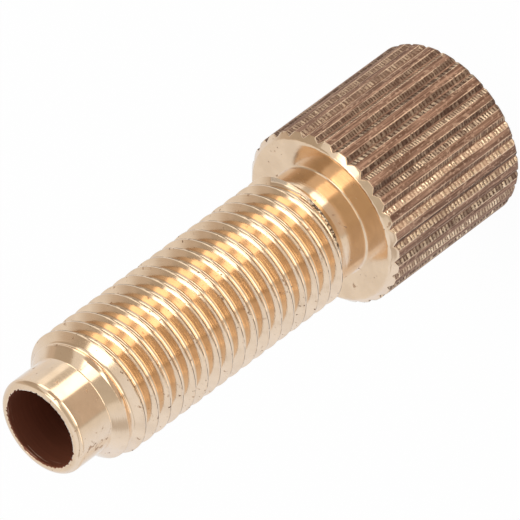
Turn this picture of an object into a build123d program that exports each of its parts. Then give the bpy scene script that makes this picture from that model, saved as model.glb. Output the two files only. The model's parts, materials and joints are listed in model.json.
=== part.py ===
"""Hollow brass cable adjuster screw, turned from one bar.

It stands on its knurled head. Z runs from the middle of the head's end face
up the bore to the nose, and all lengths are in millimetres.
"""

from build123d import *
from math import radians, tan
import os

os.makedirs("parts", exist_ok=True)

# ---- driving dimensions ----
# head
head_diameter = 10.85
head_length = 10.5
face_chamfer = 0.38  # 45 degrees, on the shoulder face's rim
end_chamfer_depth = 0.1  # inwards, on the end face's rim
end_chamfer_length = 0.2  # along the head

# straight knurl: V grooves with flat ridges between them
knurl_teeth = 30
knurl_depth = 0.2
knurl_groove_width = 0.64  # across one groove at the head's surface

# undercut neck between head and thread
neck_diameter = 6.72
neck_length = 2.1
neck_fillet = 0.12  # where the neck meets the shoulder face

# right-handed M8 x 1 thread, ending in a 45 degree lead cone
thread_diameter = 7.88  # over the crests
thread_root_diameter = 6.77
thread_pitch = 1.0
thread_angle = 60  # between the two flanks
thread_length = 18.2  # from the neck to the spigot, lead cone included
groove_run_in = 0.6  # how far below the thread, in the open neck, its groove starts

# plain spigot on the nose
spigot_diameter = 5.86
spigot_length = 2.5
nose_rounding = 0.36  # where the spigot meets the nose's end

# inside
bore_diameter = 4.8  # right through
socket_diameter = 6.5  # counterbore in the head, for the cable housing's ferrule
socket_depth = 7.0
socket_chamfer = 0.3

# ---- heights and radii that follow ----
head_radius = head_diameter / 2
neck_radius = neck_diameter / 2
thread_radius = thread_diameter / 2
root_radius = thread_root_diameter / 2
spigot_radius = spigot_diameter / 2

neck_top = head_length + neck_length
cone_top = neck_top + thread_length
cone_bottom = cone_top - (thread_radius - spigot_radius)
nose_height = cone_top + spigot_length

# ---- thread groove, as a cutter carried along a helix ----
# It starts in the open neck and leaves through the lead cone. The helix is laid
# turn by turn, so that no face of the cutter winds round more than once.
flank_slope = tan(radians(thread_angle / 2))  # width gained for each mm outwards
crest_width = thread_pitch / 8
root_width = thread_pitch - crest_width - 2 * (thread_radius - root_radius) * flank_slope
cutter_radius = thread_radius + crest_width / 3  # clear of the crests
cutter_width = root_width + 2 * (cutter_radius - root_radius) * flank_slope
groove_start = neck_top - groove_run_in
groove_turns = (cone_top - groove_start) / thread_pitch

with BuildPart() as thread_groove:
    with BuildLine() as groove_path:
        turns_laid = 0
        while turns_laid < groove_turns:
            turn = min(1, groove_turns - turns_laid)
            turn_start = groove_start + turns_laid * thread_pitch
            Helix(thread_pitch, turn * thread_pitch, root_radius, center=(0, 0, turn_start))
            turns_laid += turn
    with BuildSketch(Plane.XZ):
        with BuildLine():
            Polyline(
                (root_radius, groove_start - root_width / 2),
                (cutter_radius, groove_start - cutter_width / 2),
                (cutter_radius, groove_start + cutter_width / 2),
                (root_radius, groove_start + root_width / 2),
                close=True,
            )
        make_face()
    sweep(path=groove_path.wire(), is_frenet=True)

# ---- the screw ----
with BuildPart() as adjuster_screw:
    # turned outside
    with BuildSketch(Plane.XZ):
        with BuildLine():
            Polyline(
                (neck_radius, head_length + neck_fillet),
                (neck_radius, neck_top),
                (thread_radius, neck_top),
                (thread_radius, cone_bottom),
                (spigot_radius, cone_top),
                (spigot_radius, nose_height - nose_rounding),
            )
            RadiusArc(
                (spigot_radius, nose_height - nose_rounding),
                (spigot_radius - nose_rounding, nose_height),
                -nose_rounding,
            )
            Polyline(
                (spigot_radius - nose_rounding, nose_height),
                (0, nose_height),
                (0, 0),
                (head_radius - end_chamfer_depth, 0),
                (head_radius, end_chamfer_length),
                (head_radius, head_length - face_chamfer),
                (head_radius - face_chamfer, head_length),
                (neck_radius + neck_fillet, head_length),
            )
            RadiusArc(
                (neck_radius + neck_fillet, head_length),
                (neck_radius, head_length + neck_fillet),
                neck_fillet,
            )
        make_face()
    revolve(axis=Axis.Z)

    # thread
    add(thread_groove.part, mode=Mode.SUBTRACT)

    # knurl grooves, through both of the head's chamfers
    with BuildSketch(Plane.XY):
        with PolarLocations(head_radius, knurl_teeth):
            Polygon(
                (-knurl_depth, 0),
                (knurl_depth, knurl_groove_width),
                (knurl_depth, -knurl_groove_width),
                align=None,
            )
    extrude(amount=head_length, mode=Mode.SUBTRACT)

    # cable bore from nose to head, and the housing socket in the head
    with BuildSketch(Plane.XY):
        Circle(bore_diameter / 2)
    extrude(amount=nose_height, mode=Mode.SUBTRACT)
    with BuildSketch(Plane.XY):
        Circle(socket_diameter / 2)
    extrude(amount=socket_depth, mode=Mode.SUBTRACT)
    end_face = adjuster_screw.faces().sort_by(Axis.Z)[0]
    chamfer(end_face.inner_wires()[0].edges(), socket_chamfer)

adjuster_screw.part.label = "adjuster_screw"
export_step(adjuster_screw.part, "parts/adjuster_screw.step")
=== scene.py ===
import json
from math import cos, pi, radians, sin, tan

import bpy
import numpy as np
from mathutils import Matrix, Vector


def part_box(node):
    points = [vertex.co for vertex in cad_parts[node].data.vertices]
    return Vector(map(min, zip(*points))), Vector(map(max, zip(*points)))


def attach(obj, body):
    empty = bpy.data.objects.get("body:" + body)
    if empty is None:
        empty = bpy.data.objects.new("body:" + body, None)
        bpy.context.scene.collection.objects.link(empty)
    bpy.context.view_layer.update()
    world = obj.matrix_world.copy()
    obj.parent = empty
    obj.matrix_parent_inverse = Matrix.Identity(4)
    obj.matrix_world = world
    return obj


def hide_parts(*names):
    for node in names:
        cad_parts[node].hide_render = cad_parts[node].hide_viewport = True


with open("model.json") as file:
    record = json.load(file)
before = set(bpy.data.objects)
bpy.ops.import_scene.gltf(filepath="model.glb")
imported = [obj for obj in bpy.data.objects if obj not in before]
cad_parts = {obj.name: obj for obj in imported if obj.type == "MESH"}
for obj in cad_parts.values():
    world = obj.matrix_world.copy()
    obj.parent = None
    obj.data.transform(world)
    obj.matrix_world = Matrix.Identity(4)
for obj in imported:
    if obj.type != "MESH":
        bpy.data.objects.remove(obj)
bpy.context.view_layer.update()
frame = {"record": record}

# The brass cable adjuster screw, standing on its knurled head with the nose up.
# One skin replaces the plain solid: a closed ring of rows, run from the middle of the
# head's end face out over the knurl, up the neck and thread to the nose, and back down
# the bore. All sizes are metres; mm is one millimetre. Turns are angles about the axis,
# counted from +X.
mm = 0.001
solid_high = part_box("adjuster_screw")[1]
mounts = {mount["name"]: mount for mount in frame["record"]["mounts"]}


def mount_radius(name):
    """The stated radius of one of the record's round mounts."""
    return mounts[name]["dims"]["r_mm"] * mm


# ---- sizes ----
# head
head_radius = solid_high.y
head_length = mounts["shoulder_face"]["pos_m"][2]
face_chamfer = 0.38 * mm  # on the shoulder face's rim, at 45 degrees
end_chamfer_depth = 0.1 * mm  # on the end face's rim
end_chamfer_length = 0.2 * mm
rim_break = 0.01 * mm  # least chamfer, where the grooves cut through that rim

# straight knurl
teeth = 30
tooth_turn = 2 * pi / teeth
groove_depth = 0.2 * mm
groove_half_width = 0.32 * mm
groove_half_turn = groove_half_width / head_radius
ladder_depth = 0.018 * mm  # of the cross marks on the grooves' flanks

# neck
neck_radius = 3.36 * mm
neck_length = 2.1 * mm
neck_top = head_length + neck_length
neck_fillet = 0.12 * mm

# thread, spigot and nose
thread_radius = mount_radius("thread")
root_radius = 3.385 * mm
pitch = 1.0 * mm
spigot_radius = mount_radius("nose_spigot")
spigot_length = 2.5 * mm
spigot_fillet = 0.12 * mm
nose_height = solid_high.z
nose_rounding = 0.36 * mm
cone_top = nose_height - spigot_length
runout = cone_top - (root_radius - spigot_radius)  # where the lead cone meets the root

# inside
bore_radius = mount_radius("cable_bore")
mouth_wear = 0.11 * mm  # of the nicks round the bore's mouth
mouth_band = 0.25 * mm  # of close rows below the mouth
socket_radius = mount_radius("housing_socket")
socket_depth = 7.0 * mm
socket_chamfer = 0.3 * mm

# rows and columns: the knurl needs twice as many columns as the rest, and the change
# lies on the two flat faces, between a fine ring and a coarse one
ladder_rows = 104
coarse_columns = 5 * teeth
end_face_fine, end_face_coarse = 4.4 * mm, 4.2 * mm
shoulder_fine, shoulder_coarse = 4.5 * mm, 4.3 * mm

rng = np.random.default_rng(8)


# ---- the surface, as height rules ----
def from_groove(turn):
    """Turn from the middle of the nearest knurl groove."""
    return (turn + tooth_turn / 2) % tooth_turn - tooth_turn / 2


def knurl_radius(turn):
    """Radius of the knurled wall: flat ridges at the head's radius, and between them
    V grooves whose depth falls off in a straight line from the middle of each groove:
    depth = groove_depth * max(0, 1 - |offset| / half width), where offset is the turn
    from the nearest groove's middle."""
    offset = np.abs(from_groove(turn))
    depth = groove_depth * np.clip(1 - offset / groove_half_turn, 0, 1)
    return head_radius - depth


def knurl_ladder(turn):
    """Depth of the cross marks that the knurling wheel leaves on the flanks of each
    groove: a saw of ridges, ladder_depth * |2 * fraction(row / spacing + start) - 1|,
    whose spacing and start are drawn for each flank, times a strength drawn for each
    row and flank. They fade out at the groove's middle and edges, and at both ends."""
    flanks = 2 * teeth
    flank = np.arange(turn.shape[1]) // (turn.shape[1] // flanks)
    spacing = rng.uniform(2.2, 3.6, flanks)[flank]
    start = rng.uniform(0, 1, flanks)[flank]
    rows = np.arange(ladder_rows)[:, None]
    saw = np.abs(2 * ((rows / spacing + start) % 1) - 1)
    strength = rng.uniform(0.5, 1.0, (ladder_rows, flanks))[:, flank]
    share = np.abs(from_groove(turn)) / groove_half_turn
    on_flank = np.clip((1.15 - share) * 4, 0, 1) * np.clip((share - 0.15) * 4, 0, 1)
    depth = ladder_depth * saw * strength * on_flank
    depth[[0, -1]] = 0
    return depth


# thread section, measured along the axis from the middle of the groove: a round root
# that runs into straight flanks, and a flat crest, pitch / 8 wide, with rounded edges
flank_tilt = radians(60)  # flank to axis
crest_corner = pitch / 2 - pitch / 16  # where flank and crest would meet unrounded
root_round = crest_corner * tan(flank_tilt) - (thread_radius - root_radius)
root_end = root_round * sin(flank_tilt)
crest_round = 0.025 * mm
crest_flat = crest_corner + crest_round * tan(flank_tilt / 2)
crest_start = crest_flat - crest_round * sin(flank_tilt)


def thread_profile(turn, height):
    """Radius of the threaded shank at a turn and height, before the lead cone.
    across is the height less what the helix has climbed, pitch * turn / 2 pi, folded to
    the distance from the nearest groove's middle. The root and the crest's edges are
    arcs, centre height -/+ sqrt(round^2 - distance^2), and the flank between them is
    straight."""
    across = height - pitch * turn / (2 * pi)
    across = np.abs((across + pitch / 2) % pitch - pitch / 2)
    root = root_radius + root_round - np.sqrt(np.clip(root_round**2 - across**2, 0, None))
    flank = thread_radius - (crest_corner - across) * tan(flank_tilt)
    edge = np.clip(crest_flat - across, 0, crest_round)
    edge = thread_radius - crest_round + np.sqrt(crest_round**2 - edge**2)
    return np.where(across < root_end, root, np.where(across < crest_start, flank, edge))


def thread_phases():
    """Distances along the axis, over one pitch, where the rows of the thread run: at
    even steps of tilt round the root and round the crest's edges."""
    root = root_round * np.sin(np.radians([0, 15, 30, 45, 60]))
    crest = crest_flat - crest_round * np.sin(np.radians([60, 30, 0]))
    half = np.concatenate([root, crest])
    return np.concatenate([half, [pitch / 2], pitch - half[:0:-1]])


def cone_radius(height):
    """Radius of the lead cone that brings the thread down to the spigot at 45 degrees:
    the spigot's radius and the distance below the cone's top, added up."""
    return spigot_radius + (cone_top - height)


# ---- rows and rings ----
class Skin:
    """Collects vertices in rows round the axis, and the triangles between the rows."""

    def __init__(self):
        self.points = []
        self.triangles = []
        self.finishes = []
        self.count = 0

    def rows(self, turn, radius, height):
        """Adds points (radius cos turn, radius sin turn, height) from three arrays that
        broadcast to rows by columns, and returns their numbers in that shape."""
        turn, radius, height = np.broadcast_arrays(turn, radius, height)
        points = np.stack([radius * np.cos(turn), radius * np.sin(turn), height], -1)
        self.points.append(points.reshape(-1, 3))
        numbers = self.count + np.arange(turn.size).reshape(turn.shape)
        self.count += turn.size
        return numbers

    def weave(self, numbers, finish, following=None):
        """Two triangles for each cell between neighbouring rows and columns. following
        holds, for each point, the next one round; it defaults to the next column."""
        if following is None:
            following = np.roll(numbers, -1, axis=1)
        a, b = numbers[:-1], following[:-1]
        c, d = following[1:], numbers[1:]
        self.keep(np.stack([a, b, c], -1), finish)
        self.keep(np.stack([a, c, d], -1), finish)

    def halve(self, fine, coarse, finish, upwards):
        """Joins a ring to one with half as many points, lying in one flat face.
        upwards is true where the coarse ring follows the fine one."""
        first, middle, last = fine[0::2], fine[1::2], np.roll(fine[0::2], -1)
        near, far = coarse, np.roll(coarse, -1)
        strips = ((first, middle, near), (middle, last, far), (middle, far, near))
        for a, b, c in strips:
            corners = (a, b, c) if upwards else (b, a, c)
            self.keep(np.stack(corners, -1), finish)

    def keep(self, corners, finish):
        """Keeps the triangles whose three corners differ."""
        corners = corners.reshape(-1, 3)
        a, b, c = corners.T
        corners = corners[(a != b) & (b != c) & (c != a)]
        self.triangles.append(corners)
        self.finishes.append(np.full(len(corners), finish, dtype=np.int32))

    def mesh(self, name):
        """The collected skin as a smooth-shaded mesh, without unused points."""
        points = np.concatenate(self.points)
        triangles = np.concatenate(self.triangles)
        used, triangles = np.unique(triangles, return_inverse=True)
        triangles = triangles.reshape(-1, 3)
        points = points[used]
        mesh = bpy.data.meshes.new(name)
        mesh.vertices.add(len(points))
        mesh.vertices.foreach_set("co", points.ravel())
        mesh.loops.add(triangles.size)
        mesh.loops.foreach_set("vertex_index", triangles.ravel().astype(np.int32))
        mesh.polygons.add(len(triangles))
        starts = np.arange(0, triangles.size, 3, dtype=np.int32)
        mesh.polygons.foreach_set("loop_start", starts)
        mesh.polygons.foreach_set("material_index", np.concatenate(self.finishes))
        mesh.polygons.foreach_set("use_smooth", np.ones(len(triangles), dtype=bool))
        mesh.update(calc_edges=True)
        mesh.validate()
        mesh.normals_split_custom_set_from_vertices(self.normals(points, triangles))
        return mesh

    def normals(self, points, triangles):
        """Unit normals at the points, each the sum of its triangles' normals weighed by
        their areas, so that flats stay flat up to the small arcs on their edges."""
        a, b, c = (points[triangles[:, corner]] for corner in range(3))
        across = np.cross(b - a, c - a)
        total = np.zeros_like(points)
        for corner in range(3):
            np.add.at(total, triangles[:, corner], across)
        return total / np.linalg.norm(total, axis=1, keepdims=True)


KNURL, TURNED, BORE = 0, 1, 2  # places in the screw's list of materials


def blend(start, end, count):
    """Rows in even steps, start + share * (end - start), between two pairs of radius and
    height that may vary by column."""
    share = np.linspace(0, 1, count)[:, None]
    return [first + share * (last - first) for first, last in zip(start, end)]


def arc(middle, rounding, degrees, lead=1):
    """Corners of an outline on an arc, middle + rounding * (cos tilt, sin tilt), at the
    tilts given in degrees. lead is how many rows lead up to the first."""
    radius, height = middle
    tilts = np.radians(degrees)
    return [(radius + rounding * cos(tilt), height + rounding * sin(tilt), 1 if place else lead)
            for place, tilt in enumerate(tilts)]


def follow(outline):
    """Radius and height of the rows along an outline of (radius, height, steps) corners.
    Its runs are straight and evenly divided, and steps is how many rows lead up to the
    corner."""
    radius, height = [outline[0][0]], [outline[0][1]]
    for (r0, h0, _), (r1, h1, steps) in zip(outline, outline[1:]):
        share = np.arange(1, steps + 1) / steps
        radius.extend(r0 + share * (r1 - r0))
        height.extend(h0 + share * (h1 - h0))
    return np.array(radius)[:, None], np.array(height)[:, None]


def add_head(skin):
    """Adds the head's wall and the outer parts of its two flat faces. Returns the fine
    rings that end it on the end face and on the shoulder face."""
    # ten columns to a tooth of 12 degrees, crowded where the flanks begin and end
    in_tooth = np.radians([0.0, 0.7, 1.8, 2.9, 3.7, 6.0, 8.3, 9.1, 10.2, 11.3])
    turn = (np.arange(teeth)[:, None] * tooth_turn + in_tooth).reshape(1, -1)
    wall = knurl_radius(turn)
    foot, top = 0 * wall, head_length + 0 * wall
    end_rim = np.minimum(head_radius - end_chamfer_depth, wall - rim_break)
    face_rim = head_radius - face_chamfer
    wall_foot = (wall - end_rim) * end_chamfer_length / end_chamfer_depth
    wall_top = head_length - (wall - face_rim)
    share = np.linspace(0, 1, ladder_rows)[:, None]
    bands = [  # end face, rim, knurled wall, chamfer, shoulder face
        blend((end_face_fine, foot), (end_rim, foot), 4),
        blend((end_rim, foot), (wall, wall_foot), 4),
        (wall - knurl_ladder(turn), wall_foot + share * (wall_top - wall_foot)),
        blend((wall, wall_top), (face_rim, top), 5),
        blend((face_rim, top), (shoulder_fine, top), 4),
    ]
    bands = [np.broadcast_arrays(radius, height, turn)[:2] for radius, height in bands]
    radius, height = (
        np.concatenate([band[part][:-1] for band in bands] + [bands[-1][part][-1:]])
        for part in (0, 1)
    )
    band_ends = np.cumsum([len(band[0]) - 1 for band in bands])
    rim_row, wall_end_row = band_ends[0], band_ends[2]
    head = skin.rows(turn, radius, height)
    skin.weave(head[:rim_row + 1], TURNED)
    skin.weave(head[rim_row:wall_end_row + 1], KNURL)
    skin.weave(head[wall_end_row:], TURNED)
    return head[0], head[-1]


def add_thread(skin, turn):
    """Adds the thread, whose rows climb by one pitch a turn and are clipped level at
    both ends. Its radius is the lesser of the thread's and the lead cone's. Returns the
    level rings at its foot and at its top."""
    phases = thread_phases()
    first, last = int(neck_top // pitch) - 1, int(runout // pitch) + 1
    row_height = (np.arange(first, last + 1)[:, None] * pitch + phases).reshape(-1, 1)
    climbed = row_height + pitch * turn / (2 * pi)
    height = np.clip(climbed, neck_top, runout)
    radius = np.minimum(thread_profile(turn, height), cone_radius(height))
    thread = skin.rows(turn, radius, height)
    foot_ring = skin.rows(turn, thread_profile(turn, neck_top), neck_top)
    top_ring = skin.rows(turn, root_radius, runout)
    thread = np.where(climbed <= neck_top, foot_ring, thread)
    thread = np.where(climbed >= runout, top_ring, thread)

    # the last column is followed by the first one, a whole turn of rows further up
    following = np.roll(thread, -1, axis=1)
    after = np.minimum(np.arange(len(thread)) + len(phases), len(thread) - 1)
    following[:, -1] = thread[after, 0]
    skin.weave(thread, TURNED, following)
    return foot_ring, top_ring


def make_skin():
    """The whole skin as one closed ring of rows."""
    skin = Skin()
    turn = np.linspace(0, 2 * pi, coarse_columns, endpoint=False)[None, :]
    end_ring, shoulder_ring = add_head(skin)

    # shoulder face, fillet and neck
    fillet_foot = neck_radius + neck_fillet
    radius, height = follow([
        (shoulder_coarse, head_length, 1),
        (fillet_foot, head_length, 5),
        *arc((fillet_foot, head_length + neck_fillet), neck_fillet, np.linspace(247.5, 180, 4)),
        (neck_radius, neck_top, 4),
    ])
    neck = skin.rows(turn, radius, height)
    skin.halve(shoulder_ring, neck[0], TURNED, True)
    skin.weave(neck, TURNED)

    # thread
    foot_ring, top_ring = add_thread(skin, turn)
    skin.weave(np.concatenate([neck[-1:], foot_ring]), TURNED)

    # end of the cone, fillet, spigot, rounded nose and worn mouth
    fillet_middle = (spigot_radius + spigot_fillet, cone_top + spigot_fillet * tan(pi / 8))
    nose_middle = (spigot_radius - nose_rounding, nose_height - nose_rounding)
    radius, height = follow([
        (root_radius, runout, 1),
        *arc(fillet_middle, spigot_fillet, np.linspace(225, 180, 5)),
        *arc(nose_middle, nose_rounding, np.linspace(0, 90, 8), 6),
        (bore_radius, nose_height, 2),
    ])
    radius = np.repeat(radius, turn.size, axis=1)
    radius[-1] += mouth_wear * rng.uniform(0, 1, turn.size)**3
    spigot = skin.rows(turn, radius, height)
    spigot[0] = top_ring
    skin.weave(spigot, TURNED)

    # bore, socket and the end face's middle
    radius, height = follow([
        (bore_radius, nose_height, 1),
        (bore_radius, nose_height - mouth_band, 3),
        (bore_radius, socket_depth, 18),
        (socket_radius, socket_depth, 3),
        (socket_radius, socket_chamfer, 6),
        (socket_radius + socket_chamfer, 0, 3),
        (end_face_coarse, 0, 2),
    ])
    bore = skin.rows(turn, radius, height)
    bore[0] = spigot[-1]
    skin.weave(bore, BORE)
    skin.halve(end_ring, bore[-1], TURNED, False)
    return skin.mesh("turned_screw")


# ---- node trees ----
class Value:
    """A number, colour or vector that varies over the surface, as a node gives it.
    Arithmetic with other values and with plain numbers makes math nodes."""

    def __init__(self, socket):
        self.socket = socket

    def __add__(self, other):
        return calculate("ADD", self, other)

    def __sub__(self, other):
        return calculate("SUBTRACT", self, other)

    def __rsub__(self, other):
        return calculate("SUBTRACT", other, self)

    def __mul__(self, other):
        return calculate("MULTIPLY", self, other)

    def __truediv__(self, other):
        return calculate("DIVIDE", self, other)

    def __abs__(self):
        return calculate("ABSOLUTE", self)

    def rise(self, start, end):
        """0 below start and 1 above end, with a smooth step between."""
        node = self.socket.id_data.nodes.new("ShaderNodeMapRange")
        node.interpolation_type = "SMOOTHSTEP"
        for name, source in (("Value", self), ("From Min", start), ("From Max", end)):
            give(node.inputs[name], source)
        return Value(node.outputs["Result"])

    def near(self, middle, inner, outer):
        """1 within inner of middle and 0 beyond outer, with a smooth step between."""
        return 1 - abs(self - middle).rise(inner, outer)


def give(socket, source):
    """Links a socket to a value, or sets it to a plain number, colour or vector."""
    if isinstance(source, Value):
        socket.id_data.links.new(source.socket, socket)
    else:
        socket.default_value = source


def calculate(operation, *sources):
    """The result of a math node for values and plain numbers."""
    tree = next(source.socket.id_data for source in sources if isinstance(source, Value))
    node = tree.nodes.new("ShaderNodeMath")
    node.operation = operation
    for socket, source in zip(node.inputs, sources):
        give(socket, source)
    return Value(node.outputs[0])


def clear_tree(owner, output_type):
    """The emptied node tree of a material or world, and its output's surface socket."""
    owner.use_nodes = True
    tree = owner.node_tree
    tree.nodes.clear()
    return tree, tree.nodes.new(output_type).inputs["Surface"]


def put(name, data):
    """A new object in the scene, at the origin."""
    item = bpy.data.objects.new(name, data)
    bpy.context.collection.objects.link(item)
    return item


# ---- finishes ----
class Finish:
    """A material with a Principled metal shader, and short ways to add nodes to it."""

    def __init__(self, name):
        self.material = bpy.data.materials.new(name)
        self.tree, surface = clear_tree(self.material, "ShaderNodeOutputMaterial")
        self.shader = self.tree.nodes.new("ShaderNodeBsdfPrincipled")
        self.tree.links.new(self.shader.outputs[0], surface)
        self.set("Metallic", 1)

    def set(self, name, source):
        """Gives one of the shader's inputs a value or a plain number."""
        give(self.shader.inputs[name], source)

    def place(self):
        """Object coordinates in millimetres, as x, y and z."""
        coordinates = self.tree.nodes.new("ShaderNodeTexCoord")
        scaled = self.tree.nodes.new("ShaderNodeVectorMath")
        scaled.operation = "SCALE"
        scaled.inputs["Scale"].default_value = 1 / mm
        self.tree.links.new(coordinates.outputs["Object"], scaled.inputs[0])
        split = self.tree.nodes.new("ShaderNodeSeparateXYZ")
        self.tree.links.new(scaled.outputs[0], split.inputs[0])
        return [Value(output) for output in split.outputs]

    def join(self, *parts):
        """A vector of three numbers."""
        node = self.tree.nodes.new("ShaderNodeCombineXYZ")
        for socket, source in zip(node.inputs, parts):
            give(socket, source)
        return Value(node.outputs[0])

    def noise(self, vector, scale=1, detail=2, w=None):
        """Smooth noise from 0 to 1, at a vector or, with w, in four dimensions."""
        node = self.tree.nodes.new("ShaderNodeTexNoise")
        node.noise_dimensions = "3D" if w is None else "4D"
        give(node.inputs["Vector"], vector)
        if w is not None:
            give(node.inputs["W"], w)
        node.inputs["Scale"].default_value = scale
        node.inputs["Detail"].default_value = detail
        return Value(node.outputs["Fac"])

    def random(self, *parts):
        """An even random number for each set of three whole numbers."""
        node = self.tree.nodes.new("ShaderNodeTexWhiteNoise")
        node.noise_dimensions = "3D"
        give(node.inputs["Vector"], self.join(*parts))
        return Value(node.outputs["Value"])

    def mix(self, share, first, second):
        """The first colour where share is 0, the second where it is 1."""
        node = self.tree.nodes.new("ShaderNodeMix")
        node.data_type = "RGBA"
        give(node.inputs[0], share)
        for socket, colour in ((node.inputs[6], first), (node.inputs[7], second)):
            give(socket, (*colour, 1) if isinstance(colour, tuple) else colour)
        return Value(node.outputs[2])

    def complete(self, colour, roughness, height, depth):
        """The material, with bumps as high as depth where height goes from 0 to 1."""
        bump = self.tree.nodes.new("ShaderNodeBump")
        bump.inputs["Strength"].default_value = 1
        bump.inputs["Distance"].default_value = depth
        give(bump.inputs["Height"], height)
        self.set("Base Color", colour)
        self.set("Roughness", roughness)
        self.set("Normal", Value(bump.outputs[0]))
        return self.material


# In the finishes lengths are millimetres, apart from the bumps' depths in metres.
def turned_brass():
    """Bright turned brass: rings left by the tool, specks and stains of tarnish, a painted
    shadow as a thin dark line beside each turn's crest, and the rough edge where the thread
    starts.
    The rings are noise that is stretched round the screw."""
    brass = Finish("turned_brass")
    x, y, z = brass.place()
    where = brass.join(x, y, z)
    radius = calculate("SQRT", x * x + y * y)
    turn = calculate("ARCTAN2", y, x)
    crest, thread_start, spigot_start = thread_radius / mm, neck_top / mm, cone_top / mm

    def tool_rings(round_scale, along_scale, detail):
        east, north = x / radius, y / radius
        vector = brass.join(east * round_scale, north * round_scale, z * along_scale)
        return brass.noise(vector, detail=detail, w=radius * along_scale)

    fine_rings = tool_rings(1.5, 22, 1)
    coarse_rings = tool_rings(0.7, 6, 2)

    # specks in patches and along the crests, and stains that gather on the spigot
    on_thread = radius.rise(crest - 0.14, crest - 0.02)
    on_thread = on_thread * (1 - z.rise(spigot_start - 1.3, spigot_start - 0.6))
    on_thread = on_thread * z.rise(thread_start - 0.2, thread_start + 0.2)
    speck = brass.noise(where, 4.5, detail=3)
    speck = speck + brass.noise(where, 0.55, detail=1) * 0.28 + on_thread * 0.06
    speck = speck.rise(0.86, 0.91)
    gathered = turn.near(radians(-109.5), 0.1, 0.45)
    gathered = gathered * z.rise(spigot_start - 0.4, spigot_start + 0.2)
    stain = brass.noise(where, 2.4, detail=3) + gathered * 0.1
    stain = stain.rise(0.66, 0.74) * 0.8

    # painted shadow: a dark line beside each crest, broken here and there. phase is the share
    # of a pitch from the middle of the groove: fraction(z / pitch - turn / 2 pi)
    phase = calculate("FRACT", z / (pitch / mm) - turn / (2 * pi))
    crest_shade_and_rough_edge = phase.near(crest_corner / pitch + 0.012, 0.020, 0.042)
    crest_shade_and_rough_edge = crest_shade_and_rough_edge * radius.rise(crest - 0.19, crest - 0.09)
    crest_shade_and_rough_edge = crest_shade_and_rough_edge * z.rise(thread_start - 0.02, thread_start)
    crest_shade_and_rough_edge = crest_shade_and_rough_edge * brass.noise(brass.join(x, y, z * 0.6), 2.2, detail=2).rise(0.30, 0.55)

    # rough edge, and light chips in it
    ragged_z = z - brass.noise(where, 3.2, detail=3) * 0.3
    rough = ragged_z.near(thread_start - 0.1, 0.03, 0.08)
    rough = rough * turn.near(radians(-59.5), 0.35, 0.6)
    chips = rough * brass.noise(where, 8, detail=2).rise(0.5, 0.56)
    # the rough edge joins the painted crest shadow
    crest_shade_and_rough_edge = calculate("MAXIMUM", crest_shade_and_rough_edge, rough) * 0.9

    cloud = brass.noise(where, 0.9, detail=3).rise(0.35, 0.7)
    colour = brass.mix(cloud, (0.86, 0.615, 0.385), (0.79, 0.555, 0.34))
    colour = brass.mix(stain, colour, (0.46, 0.27, 0.15))
    colour = brass.mix(speck, colour, (0.30, 0.17, 0.10))
    # painted shadow beside the crests, and the dark rough edge
    colour = brass.mix(crest_shade_and_rough_edge, colour, (0.075, 0.038, 0.022))
    colour = brass.mix(chips, colour, (0.92, 0.74, 0.52))

    # the bright skin of the metal is a thin clear coat, which tarnish, the rough edge and the
    # painted crest shadow dull
    tarnish_and_crest_shade = calculate("MAXIMUM", calculate("MAXIMUM", speck, stain), crest_shade_and_rough_edge)
    brass.set("Coat Weight", 1 - tarnish_and_crest_shade)
    brass.set("Coat IOR", 1.5)
    brass.set("Coat Roughness", 0.1)
    roughness = coarse_rings * 0.10 + 0.08 + tarnish_and_crest_shade * 0.4
    return brass.complete(colour, roughness, fine_rings + coarse_rings, 0.0022 * mm)


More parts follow.
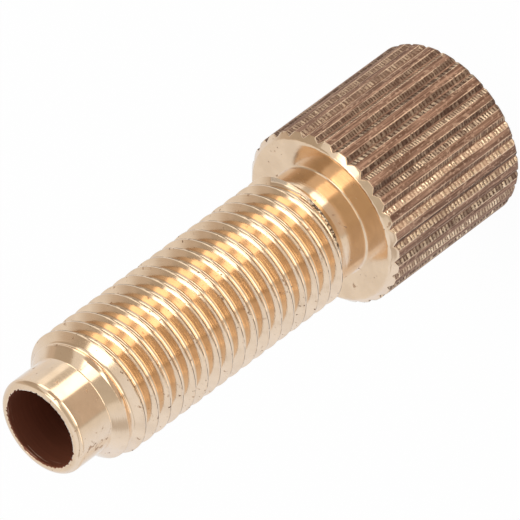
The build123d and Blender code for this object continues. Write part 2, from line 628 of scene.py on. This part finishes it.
def knurled_brass():
    """Dark brown rolled brass: streaks along the ridges, light crumbs, a thin painted highlight
    where a ridge meets a flank, and bright cross marks on the flanks of the grooves, each flank
    with its own spacing. The flanks and their marks are painted lighter on the side that faces
    back along the turn, and with a painted highlight at two turns."""
    brass = Finish("knurled_brass")
    x, y, z = brass.place()
    turn = calculate("ARCTAN2", y, x)
    tooth = turn / tooth_turn
    groove = calculate("FLOOR", tooth + 0.5)
    offset = tooth - groove  # from the groove's middle, -0.5 to 0.5 of the tooth spacing
    side = calculate("SIGN", offset)
    groove = calculate("PINGPONG", groove, teeth)  # so that the one at -X has one number
    across = abs(offset) * (tooth_turn * head_radius / mm)
    half = groove_half_width / mm
    flank = across.rise(0.02, 0.07) * (1 - across.rise(half - 0.01, half + 0.03))
    grain = brass.noise(brass.join(x, y, z), 9, detail=2)

    # cross marks: steps counts them along each flank, with a wandering, grainy spacing,
    # and from_middle is the distance from the middle of a mark, 0.5 between two marks
    spacing = brass.random(groove, side, 3) * 0.12 + 0.18
    wander = brass.noise(brass.join(groove, side, z * 1.2), detail=1)
    steps = z / spacing + wander * 1.4 + grain * 0.9
    number = calculate("FLOOR", steps)
    from_middle = abs(steps - number - 0.5) + (grain - 0.5) * 0.9
    strength = brass.random(groove, side, number) * 0.9 + 0.2
    worn = brass.noise(brass.join(tooth, 7, z), 1.1, detail=2).rise(0.3, 0.6) * 0.6 + 0.4
    mark_and_glint = (1 - from_middle.rise(0.10, 0.45)) * strength * worn

    # some flanks are rubbed a random shade brighter; a painted highlight makes all flanks
    # bright at two turns, and the flanks that face back along the turn are painted brighter
    # than the others, as if lit from that side
    lit_flank = 0.5 - side * 0.5
    rubbed_and_lit = brass.random(groove, side, 11) * 0.45
    for highlight_turn, reach in ((-79.5, 9), (6.5, 10)):
        highlight_patch = turn.near(radians(highlight_turn), radians(reach), radians(reach + 5))
        rubbed_and_lit = calculate("MAXIMUM", rubbed_and_lit, highlight_patch)
    rubbed_and_lit = rubbed_and_lit * (lit_flank * 0.75 + 0.25)
    # painted light: the marks are brighter on the lit flanks and in the painted highlights
    mark_and_glint = mark_and_glint * (rubbed_and_lit + (lit_flank * 0.65 + 0.22)) * flank

    # streaks, broken lines of painted highlight on the edges, and crumbs
    streak = brass.noise(brass.join(tooth * 9, 0, z * 0.35), detail=3)
    edge = across.near(half + 0.015, 0.01, 0.045) * grain.rise(0.32, 0.5)
    edge = edge * brass.noise(brass.join(tooth * 5, 3, z * 0.3), detail=2).rise(0.4, 0.55)
    crumb = brass.noise(brass.join(x, y, z * 0.7), 5.5, detail=3).rise(0.54, 0.66)
    crumb = crumb * (0.6 - flank * 0.35)

    ridge_colour = brass.mix(streak.rise(0.35, 0.75), (0.20, 0.105, 0.066), (0.52, 0.31, 0.20))
    # flank colour goes from dark to painted light on the lit side and in the highlights
    flank_colour = brass.mix(rubbed_and_lit, (0.105, 0.053, 0.036), (0.50, 0.31, 0.20))
    colour = brass.mix(flank, ridge_colour, flank_colour)
    colour = brass.mix(crumb, colour, (0.66, 0.44, 0.29))
    # painted highlight along the ridges' edges
    colour = brass.mix(edge, colour, (0.82, 0.59, 0.40))
    # bright cross marks, partly painted highlight on the lit flanks
    colour = brass.mix(mark_and_glint, colour, (1.0, 0.76, 0.50))
    roughness = 0.6 - mark_and_glint * 0.28
    return brass.complete(colour, roughness, mark_and_glint + (streak + grain) * 0.6, ladder_depth)


def bore_brass():
    """Unlit drilled brass: dark red-brown with faint rings from the drill, and light
    scratches just inside the mouth."""
    brass = Finish("bore_brass")
    x, y, z = brass.place()
    mouth = nose_height / mm
    rings = brass.noise(brass.join(x * 0.4, y * 0.4, z * 7), detail=2)
    scratch = calculate("PINGPONG", z + rings * 0.2, 0.09)
    scratch = (1 - scratch.rise(0.010, 0.03)) * z.rise(mouth - 0.5, mouth - 0.4)
    scratch = scratch * brass.noise(brass.join(x, y, z * 9), 0.8, detail=1).rise(0.55, 0.62)
    colour = brass.mix(rings.rise(0.3, 0.7), (0.255, 0.082, 0.040), (0.29, 0.094, 0.047))
    colour = brass.mix(scratch, colour, (0.75, 0.50, 0.36))
    brass.set("Metallic", 0.35)
    return brass.complete(colour, 0.45, rings, 0.004 * mm)


screw = put("turned_screw", make_skin())
for finish in (knurled_brass(), turned_brass(), bore_brass()):
    screw.data.materials.append(finish)
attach(screw, "root")
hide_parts("adjuster_screw")


# ---- studio ----
front = radians(-53.5)  # the side of the screw that the camera faces
floor_grey = 0.86
world_light = 0.6
floor_white, world_white = 0.97, 1  # how much white covers each as a background


def mix_background(tree, surface, plain, white, level):
    """Links a plain shader to a surface, and mixes in a white one for rays that see it
    as background: straight from the camera, or by way of metal or glass."""
    path = tree.nodes.new("ShaderNodeLightPath")
    seen = Value(path.outputs["Is Camera Ray"])
    for ray in ("Is Glossy Ray", "Is Transmission Ray"):
        seen = calculate("MAXIMUM", seen, Value(path.outputs[ray]))
    mix = tree.nodes.new("ShaderNodeMixShader")
    give(mix.inputs[0], seen * level)
    tree.links.new(plain.outputs[0], mix.inputs[1])
    tree.links.new(white.outputs[0], mix.inputs[2])
    tree.links.new(mix.outputs[0], surface)


def make_floor():
    """A plain pale table top that keeps a faint shadow. It is hidden from the metal,
    which sees the tent instead."""
    half = 3.0
    corners = [(-half, -half, 0), (half, -half, 0), (half, half, 0), (-half, half, 0)]
    mesh = bpy.data.meshes.new("floor")
    mesh.from_pydata(corners, [], [(0, 1, 2, 3)])
    material = bpy.data.materials.new("pale_floor")
    tree, surface = clear_tree(material, "ShaderNodeOutputMaterial")
    matt = tree.nodes.new("ShaderNodeBsdfDiffuse")
    matt.inputs["Color"].default_value = (floor_grey, floor_grey, floor_grey, 1)
    white = tree.nodes.new("ShaderNodeEmission")
    white.inputs["Strength"].default_value = 1
    mix_background(tree, surface, matt, white, floor_white)
    mesh.materials.append(material)
    floor = put("floor", mesh)
    floor.visible_glossy = False


def make_world():
    """Even white light all round, and plain white as a background."""
    world = bpy.data.worlds.new("studio")
    bpy.context.scene.world = world
    tree, surface = clear_tree(world, "ShaderNodeOutputWorld")
    soft, white = (tree.nodes.new("ShaderNodeBackground") for _ in range(2))
    soft.inputs["Strength"].default_value = world_light
    white.inputs["Strength"].default_value = 1
    mix_background(tree, surface, soft, white, world_white)


def make_camera():
    """The camera looks down on the nose from the front, rolled so that the screw lies
    aslant in the frame."""
    elevation, roll, distance = radians(34.08), radians(36.6), 513.9 * mm
    aim_height, aim_right, aim_up = 18.207 * mm, 1.785 * mm, 1.627 * mm
    outwards = Vector((cos(front), sin(front), 0))
    sideways = Vector((sin(front), -cos(front), 0))
    down = Vector((0, 0, -1))
    forward = down * sin(elevation) - outwards * cos(elevation)
    across = (down - forward * sin(elevation)) / cos(elevation)
    right = across * cos(roll) + sideways * sin(roll)
    up = across * sin(roll) - sideways * cos(roll)
    aim = Vector((0, 0, aim_height)) + right * aim_right + up * aim_up
    data = bpy.data.cameras.new("camera")
    data.sensor_width, data.lens = 36, 651.8  # millimetres
    data.clip_start, data.clip_end = 0.01, 20
    camera = put("camera", data)
    turn = Matrix((right, up, -forward)).transposed().to_4x4()
    camera.matrix_world = Matrix.Translation(aim - forward * distance) @ turn
    bpy.context.scene.camera = camera


# The light tent: how bright it is by the turn from the camera's side and the elevation,
# both in degrees. Each panel is (turns, elevations, soft edge, brightness), and a later
# panel lies over an earlier one. 1 is white.
tent_middle, tent_reach = 21 * mm, 1200 * mm
tent_white = (0.85, 0.89, 0.96)
tent_panels = (
    ((70, 160), (-90, 90), 34, (0.91, 1.00, 1.17)),  # cooler light on the right
    ((116, 200), (-90, -6), 24, (0.84, 0.82, 0.80)),  # warmer light low down behind
    ((-200, -122), (-90, -6), 24, (0.84, 0.82, 0.80)),
    ((-22, 52), (-90, 75), 8, (0.60, 0.60, 0.60)),  # grey card in front
    ((46, 126), (30, 40), 5, (0.60, 0.60, 0.63)),  # narrow card on the right
    ((-22, 52), (-30, -20), 4, (0.50, 0.47, 0.45)),  # darker parts of the front card
    ((-22, 48), (-90, -30), 4, (0.66, 0.59, 0.55)),
    ((46, 100), (-27, -12), 6, (0.74, 0.74, 0.78)),
    ((-17, 38), (-19, 26), 5, (1.1, 1.1, 1.1)),  # soft lamp below the camera
    ((-16, 38), (-19, -4), 5, (3.2, 3.2, 3.2)),
    ((43, 76), (-13, 0), 4, (1.7, 1.7, 1.7)),  # its dimmer neighbour
    ((-131, -82), (0, 64), 14, (0.60, 0.55, 0.52)),  # dark cards on the left
    ((-114, -76), (-4, 22), 8, (0.47, 0.43, 0.40)),
    ((-116, -80), (20, 64), 5, (0.48, 0.45, 0.42)),
    ((-74, -56), (-90, -30), 5, (0.65, 0.65, 0.65)),  # low grey card, and a pale one
    ((-92, -74), (-90, -30), 6, (1.2, 1.25, 1.3)),
    ((-53, -20), (-90, -28), 3, (2.35, 2.35, 2.35)),  # strip lamp, foot
    ((-56, -20), (-29, -17), 3, (2.5, 2.5, 2.6)),  # strip lamp, bright bar
    ((-52, -40), (-27, -15), 4, (1.2, 1.25, 1.4)),
    ((-53, -22), (-16, 34), 5, (0.55, 0.49, 0.46)),  # gap between the strips
    ((-78, -53), (-27, 1), 4, (2.2, 2.2, 2.2)),  # strip lamp, left end
    ((-55, -25), (33, 62), 6, (2.6, 2.6, 2.6)),  # upper strip lamp
    ((-40, -19), (49, 62), 5, (2.2, 2.2, 2.2)),
    ((-103, -34), (65, 86), 5, (3.3, 3.3, 3.3)),  # lamp overhead
    ((-115, 45), (-84, -46), 6, (0.30, 0.24, 0.21)),  # dark cloth under the screw
)


def tent_glow(turn, elevation):
    """Colour of the tent: white, with each panel mixed in by a mask. The mask is the
    product, over both angles, of smooth steps r * r * (3 - 2 * r), where r goes from 0
    to 1 across the soft edge."""
    shape = np.broadcast(turn, elevation).shape
    glow = np.broadcast_to(tent_white, shape + (3,))
    for turns, elevations, soft, level in tent_panels:
        mask = np.ones(shape)
        for value, (start, end) in ((turn, turns), (elevation, elevations)):
            inside = np.minimum(value - start, end - value)
            ramp = np.clip(inside / soft + 0.5, 0, 1)
            mask = mask * ramp * ramp * (3 - 2 * ramp)
        glow = glow + mask[..., None] * (np.array(level) - glow)
    return glow


def make_tent():
    """A round tent that only the metal sees: a sphere about the middle of the thread, in
    steps of one degree, each point of which glows by its direction."""
    turn = np.arange(-180, 181)[None, :]
    elevation = np.arange(-90, 91)[:, None]
    angle, rise = front - np.radians(turn), np.radians(elevation)
    radius = tent_reach * np.cos(rise)
    height = tent_middle + tent_reach * np.sin(rise)
    points = np.stack(np.broadcast_arrays(
        radius * np.cos(angle), radius * np.sin(angle), height), -1)
    rows, columns = points.shape[:2]
    number = np.arange(rows * columns).reshape(rows, columns)
    faces = np.stack([number[:-1, :-1], number[:-1, 1:], number[1:, 1:], number[1:, :-1]], -1)
    mesh = bpy.data.meshes.new("light_tent")
    mesh.from_pydata(points.reshape(-1, 3).tolist(), [], faces.reshape(-1, 4).tolist())
    glow = tent_glow(turn, elevation)
    colour = np.concatenate([glow, np.ones((rows, columns, 1))], -1)
    attribute = mesh.attributes.new("glow", "FLOAT_COLOR", "POINT")
    attribute.data.foreach_set("color", colour.ravel())
    material = bpy.data.materials.new("tent_cloth")
    tree, surface = clear_tree(material, "ShaderNodeOutputMaterial")
    light = tree.nodes.new("ShaderNodeEmission")
    painted = tree.nodes.new("ShaderNodeAttribute")
    painted.attribute_name = "glow"
    tree.links.new(painted.outputs["Color"], light.inputs["Color"])
    tree.links.new(light.outputs[0], surface)
    mesh.materials.append(material)
    tent = put("light_tent", mesh)
    tent.visible_camera = tent.visible_diffuse = tent.visible_shadow = False


def make_key_lamp():
    """A soft square lamp, high on the left, that faces the screw's middle. It lights
    the floor and casts the shadow; the metal sees the tent alone."""
    turn, elevation, distance = radians(-100), radians(64), 0.6
    screw_middle = Vector((0, 0, 17 * mm))
    data = bpy.data.lights.new("key_lamp", "AREA")
    data.shape = "SQUARE"
    data.size = 0.35
    data.energy = 2.0  # watts
    lamp = put("key_lamp", data)
    angle = front - turn
    toward = Vector((cos(angle) * cos(elevation), sin(angle) * cos(elevation), sin(elevation)))
    lamp.location = screw_middle + toward * distance
    lamp.rotation_euler = toward.to_track_quat("Z", "Y").to_euler()
    lamp.visible_camera = lamp.visible_glossy = False


make_floor()
make_world()
make_camera()
make_tent()
make_key_lamp()

bpy.context.scene.view_settings.view_transform = "Standard"
